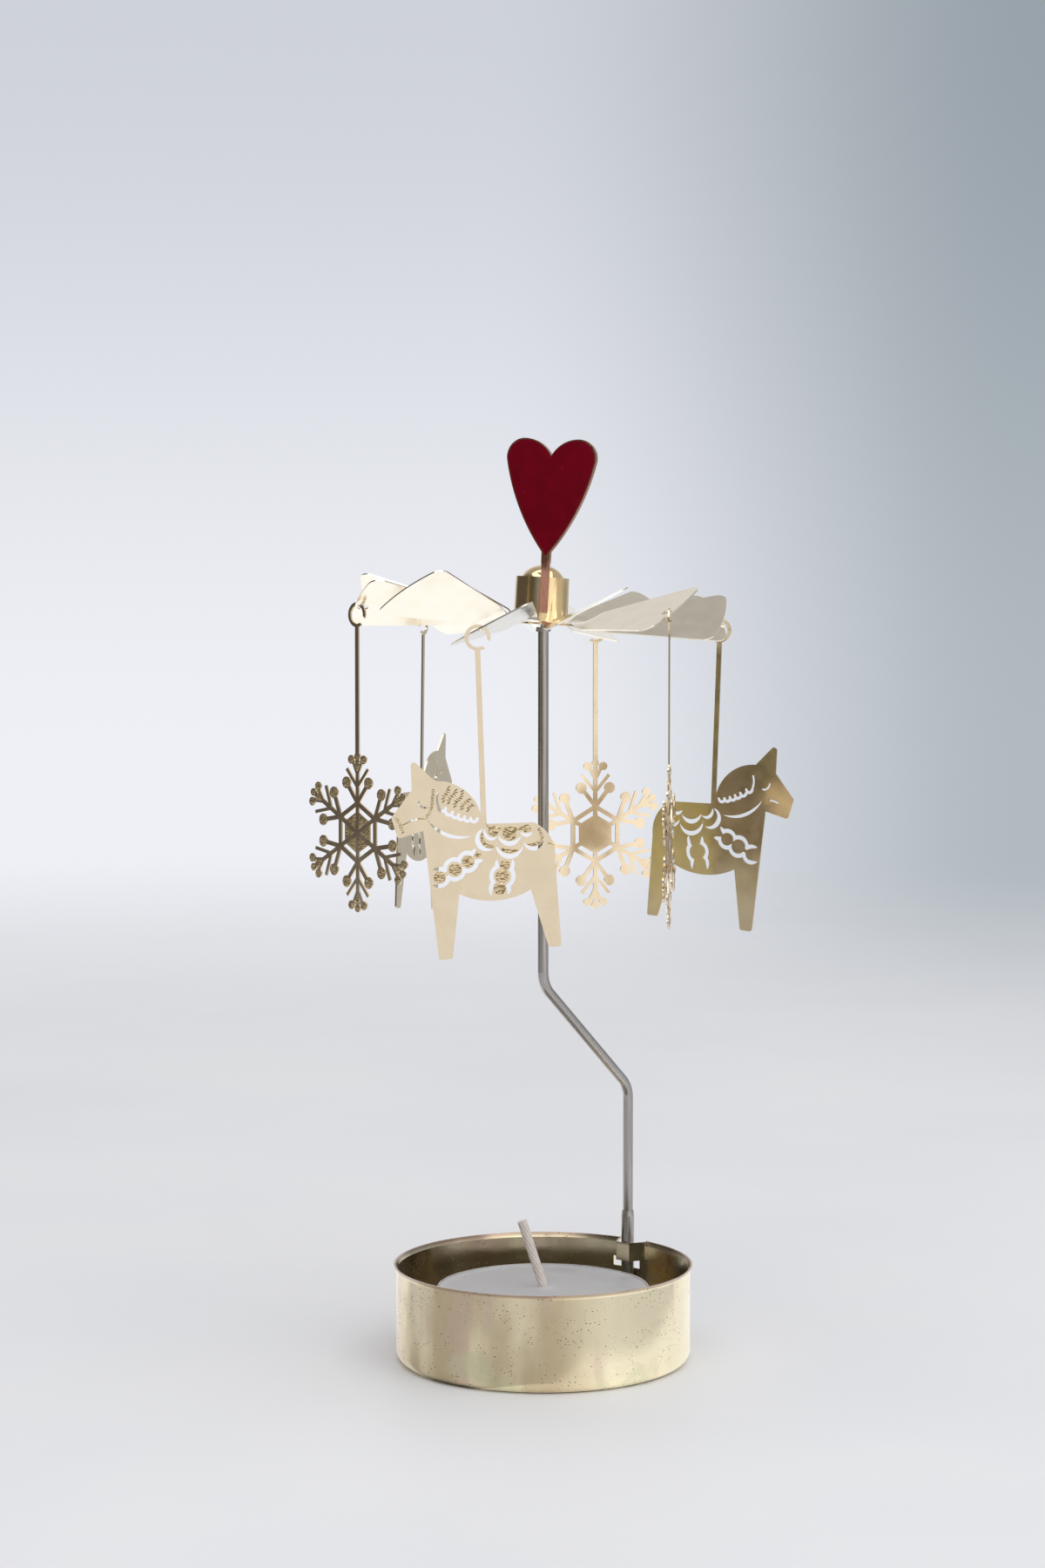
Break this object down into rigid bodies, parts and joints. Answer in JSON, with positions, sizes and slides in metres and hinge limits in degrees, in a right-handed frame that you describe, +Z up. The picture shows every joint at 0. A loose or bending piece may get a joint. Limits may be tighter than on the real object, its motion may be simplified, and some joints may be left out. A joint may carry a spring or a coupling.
{
  "type": "angel chime carousel",
  "caption": "Candle carousel: a tealight in a round brass tin turns a bladed rotor on a bent pole, hung with flat horse and snowflake pendants and topped by a red heart.",
  "frame": {"origin": "middle of the underside of the tin", "axes": "+Z up along the rotor axis, +Y towards the pole at the tin wall"},
  "size_m": [0.0771, 0.083, 0.1644],
  "materials": {
    "tin_brass": "satin plated",
    "pole_steel": "polished",
    "needle_steel": "bright",
    "propeller_brass": "mirror",
    "hub_brass": "polished",
    "heart_enamel": "gloss enamel",
    "pendant_brass": "satin, etched front",
    "cup_aluminium": "bright",
    "wax": "waxy",
    "wick_cotton": "waxed cotton"
  },
  "bodies": {
    "base": {"base_tin": "tin_brass"},
    "pole": {"bent_pole": "pole_steel", "pole_foot_sleeve": "pole_steel", "pole_top_collar": "pole_steel", "pivot_needle": "needle_steel"},
    "rotor": {"propeller": "propeller_brass", "hub_dome": "hub_brass", "bearing_cup": "hub_brass", "hub_band": "hub_brass", "heart_topper": "heart_enamel"},
    "tealight": {"tealight_cup": "cup_aluminium", "tealight_wax": "wax", "tealight_wick": "wick_cotton", "wick_sustainer": "needle_steel"},
    "horse_1": {"horse_pendant_1": "pendant_brass"},
    "snowflake_1": {"snowflake_pendant_1": "pendant_brass"},
    "horse_2": {"horse_pendant_2": "pendant_brass"},
    "snowflake_2": {"snowflake_pendant_2": "pendant_brass"},
    "horse_3": {"horse_pendant_3": "pendant_brass"},
    "snowflake_3": {"snowflake_pendant_3": "pendant_brass"}
  },
  "joints": [
    {"name": "pole_lift", "type": "slide", "parent": "base", "child": "pole", "axis": [0, 0, 1], "range_m": [0, 0.017]},
    {"name": "rotor_spin", "type": "hinge", "parent": "pole", "child": "rotor", "pos_m": [0, 0, 0.14115], "axis": [0, 0, 1], "continuous": true},
    {"name": "tealight_lift", "type": "slide", "parent": "base", "child": "tealight", "axis": [0, 0, 1], "range_m": [0, 0.018]},
    {"name": "horse_1_swing", "type": "hinge", "parent": "rotor", "child": "horse_1", "pos_m": [0.01136, -0.03101, 0.12947], "axis": [-0.7266, 0.6871, 0], "range_deg": [-15, 15]},
    {"name": "snowflake_1_swing", "type": "hinge", "parent": "rotor", "child": "snowflake_1", "pos_m": [0.03207, -0.00524, 0.13229], "axis": [-0.8425, -0.5388, 0], "range_deg": [-15, 15]},
    {"name": "horse_2_swing", "type": "hinge", "parent": "rotor", "child": "horse_2", "pos_m": [0.02015, 0.02539, 0.13058], "axis": [0.2181, -0.9759, 0], "range_deg": [-15, 15]},
    {"name": "snowflake_2_swing", "type": "hinge", "parent": "rotor", "child": "snowflake_2", "pos_m": [-0.01234, 0.03034, 0.13044], "axis": [0.8625, -0.506, 0], "range_deg": [-15, 15]},
    {"name": "horse_3_swing", "type": "hinge", "parent": "rotor", "child": "horse_3", "pos_m": [-0.03288, 0.00473, 0.1319], "axis": [0.9361, 0.3518, 0], "range_deg": [-15, 15]},
    {"name": "snowflake_3_swing", "type": "hinge", "parent": "rotor", "child": "snowflake_3", "pos_m": [-0.02094, -0.02591, 0.13338], "axis": [0.0767, 0.9971, 0], "range_deg": [-15, 15]}
  ]
}
